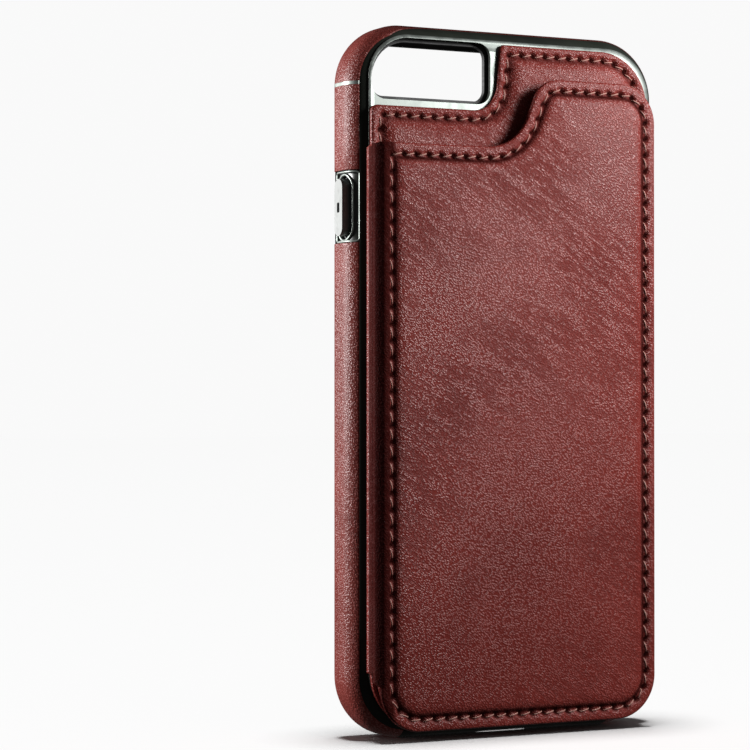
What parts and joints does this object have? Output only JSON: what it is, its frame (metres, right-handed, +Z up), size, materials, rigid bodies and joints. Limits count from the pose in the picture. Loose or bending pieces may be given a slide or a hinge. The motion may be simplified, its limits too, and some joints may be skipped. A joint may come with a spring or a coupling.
{
  "type": "phone wallet case",
  "caption": "Phone case in leather-covered plastic with a card wallet on its back, closed by a hinged leather flap with magnetic snaps.",
  "frame": {"origin": "middle of the case's bottom edge; Y = 0 is the plane of the phone's back", "axes": "+Z up the case, +X to the right when the wallet faces the viewer, +Y from the wallet to the phone's screen"},
  "size_m": [0.0728, 0.0164, 0.1428],
  "materials": {
    "leather_brown": "grained, semi-gloss",
    "lining": "smooth, matt",
    "shell_black": "satin black",
    "tray_rubber": "satin black",
    "bright_trim": "silver grey, glossy",
    "plate_grey": "dark grey, glossy",
    "key_grey": "grey, glossy",
    "snap_metal": "polished",
    "board": "plain board",
    "foam": "soft foam sheet"
  },
  "bodies": {
    "case": {"outer_frame": "shell_black", "inner_tray": "tray_rubber", "top_strip": "leather_brown", "power_strip_middle": "leather_brown", "bright_divider": "bright_trim", "power_strip_lower": "leather_brown", "volume_strip_lower": "leather_brown", "power_plate": "plate_grey", "volume_plate": "plate_grey", "back_trim": "bright_trim", "base_leather": "leather_brown", "base_board": "board", "cash_pocket": "leather_brown", "rear_card_pocket": "leather_brown", "front_card_pocket": "leather_brown", "pocket_snaps": "snap_metal"},
    "spine": {"spine_strip": "leather_brown"},
    "flap": {"flap_leather": "leather_brown", "flap_padding": "foam", "flap_board": "board", "flap_lining": "lining", "flap_snaps": "snap_metal"},
    "power_key": {"power_button": "key_grey"},
    "volume_key": {"volume_rocker": "key_grey"}
  },
  "joints": [
    {"name": "base_fold", "type": "hinge", "parent": "case", "child": "spine", "pos_m": [-0.0326, -0.0031, 0.0642], "axis": [0, 0, -1], "range_deg": [0, 90]},
    {"name": "flap_fold", "type": "hinge", "parent": "spine", "child": "flap", "pos_m": [-0.0326, -0.007, 0.0642], "axis": [0, 0, -1], "range_deg": [0, 90]},
    {"name": "power_press", "type": "slide", "parent": "case", "child": "power_key", "axis": [1, 0, 0], "range_m": [0, 0.00035], "stiffness_N_per_m": 3000},
    {"name": "volume_rock", "type": "hinge", "parent": "case", "child": "volume_key", "pos_m": [0.0344, 0.003, 0.0994], "axis": [0, 1, 0], "range_deg": [-1.6, 1.6], "stiffness_Nm_per_rad": 0.7}
  ]
}
